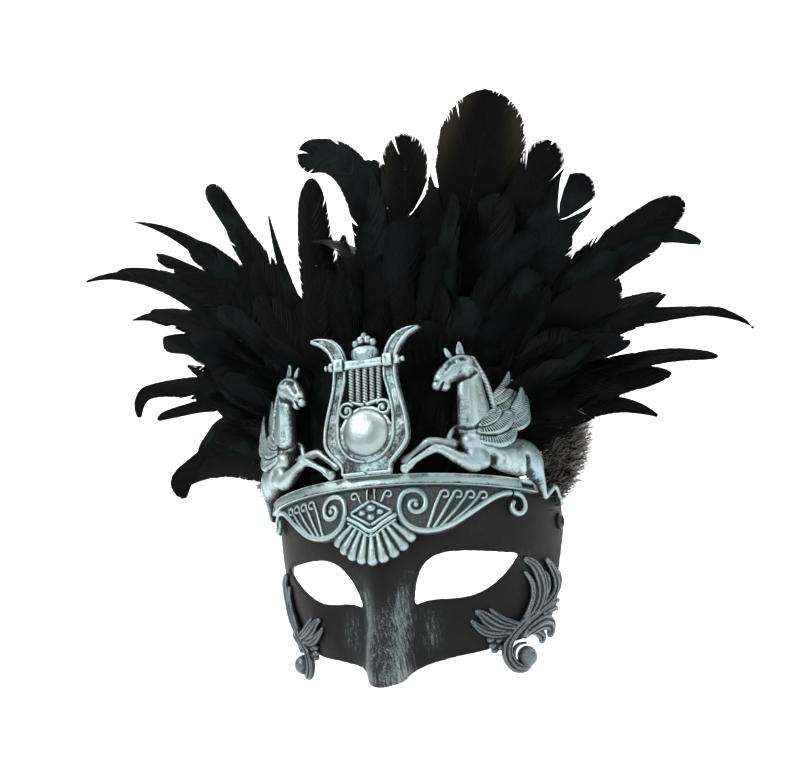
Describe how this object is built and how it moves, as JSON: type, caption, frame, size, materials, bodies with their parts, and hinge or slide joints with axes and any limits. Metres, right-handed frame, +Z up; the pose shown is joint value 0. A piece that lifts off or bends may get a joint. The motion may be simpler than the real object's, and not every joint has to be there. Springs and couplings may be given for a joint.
{
  "type": "masquerade half mask",
  "caption": "Half mask with a black shell, a silvered crown with a lyre and winged horses, acanthus cheek scrolls and a high fan of black plumes.",
  "frame": {"origin": "on the mask's mid-plane, level with the inner corners of the eye holes, at the depth of the brow", "axes": "+Y back towards the wearer's head (the mask faces -Y), +X to the right as seen from in front, +Z up"},
  "size_m": [0.3777, 0.1053, 0.3007],
  "materials": {
    "black_shell": "matte black, dry-brushed with silver on the nose ridge and cheeks",
    "black_felt": "napped felt",
    "silver_paint": "moulded resin painted silver, dark wash in the recesses",
    "dark_patina": "moulded resin, dark patina ground with silver rubbed over it",
    "gunmetal_paint": "moulded resin painted gunmetal silver, dark wash in the recesses",
    "black_plume": "dyed cock feathers, satin with a faint green sheen",
    "grey_down": "loose downy marabou"
  },
  "bodies": {
    "root": {"mask_shell": "black_shell", "felt_strip": "black_felt", "eyelet_left": "black_shell", "eyelet_right": "black_shell", "crown_rail": "silver_paint", "scroll_apron": "dark_patina", "border_cord_left": "silver_paint", "border_cord_right": "silver_paint", "rib_scrolls_left": "silver_paint", "rib_scrolls_right": "silver_paint", "chevron_bar": "silver_paint", "diamond_frame": "silver_paint", "diamond_pearls": "silver_paint", "palmette_fan": "silver_paint", "lyre_plate": "dark_patina", "lyre_rims": "silver_paint", "lyre_boss": "silver_paint", "lyre_volutes": "silver_paint", "lyre_strings": "silver_paint", "lyre_crossbar": "silver_paint", "lyre_finial": "silver_paint", "horse_left": "silver_paint", "horse_right": "silver_paint", "mane_left": "silver_paint", "mane_right": "silver_paint", "wing_near_left": "silver_paint", "wing_near_right": "silver_paint", "wing_far_left": "silver_paint", "wing_far_right": "silver_paint", "cheek_leaves_left": "gunmetal_paint", "cheek_leaves_right": "gunmetal_paint", "cheek_pearl_left": "gunmetal_paint", "cheek_pearl_right": "gunmetal_paint", "plumes_centre_front": "black_plume", "plumes_centre_back": "black_plume", "plumes_left_inner": "black_plume", "plumes_right_inner": "black_plume", "plumes_left_outer": "black_plume", "plumes_right_outer": "black_plume", "plumes_left_low": "black_plume", "plumes_right_low": "black_plume", "marabou_left": "grey_down", "marabou_right": "grey_down"}
  },
  "joints": []
}
